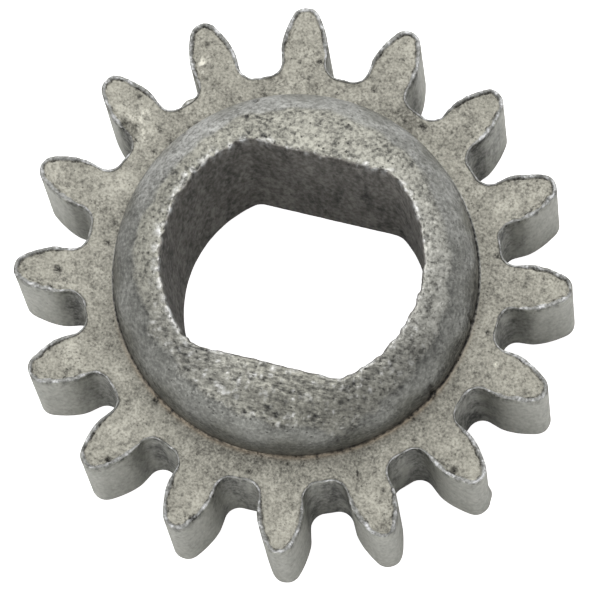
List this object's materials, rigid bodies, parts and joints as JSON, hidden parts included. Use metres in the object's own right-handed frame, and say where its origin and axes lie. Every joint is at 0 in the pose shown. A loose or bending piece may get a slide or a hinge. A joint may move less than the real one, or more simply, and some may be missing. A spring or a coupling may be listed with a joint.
{
  "type": "spur gear",
  "caption": "Small sintered metal spur gear with a raised domed hub on one side and a double-D bore for a flatted shaft.",
  "frame": {"origin": "on the axis of the bore, in the plane of the flat back", "axes": "+Z along the bore from the flat back to the domed hub, X parallel to the bore's two drive flats, Y square to them; a tooth space lies on each of the axes X and Y"},
  "size_m": [0.032, 0.032, 0.0142],
  "materials": {
    "sintered_iron": "matt pressed and sintered surface, speckled on the faces and smoother on the flanks"
  },
  "bodies": {
    "root": {"spur_gear": "sintered_iron"}
  },
  "joints": []
}
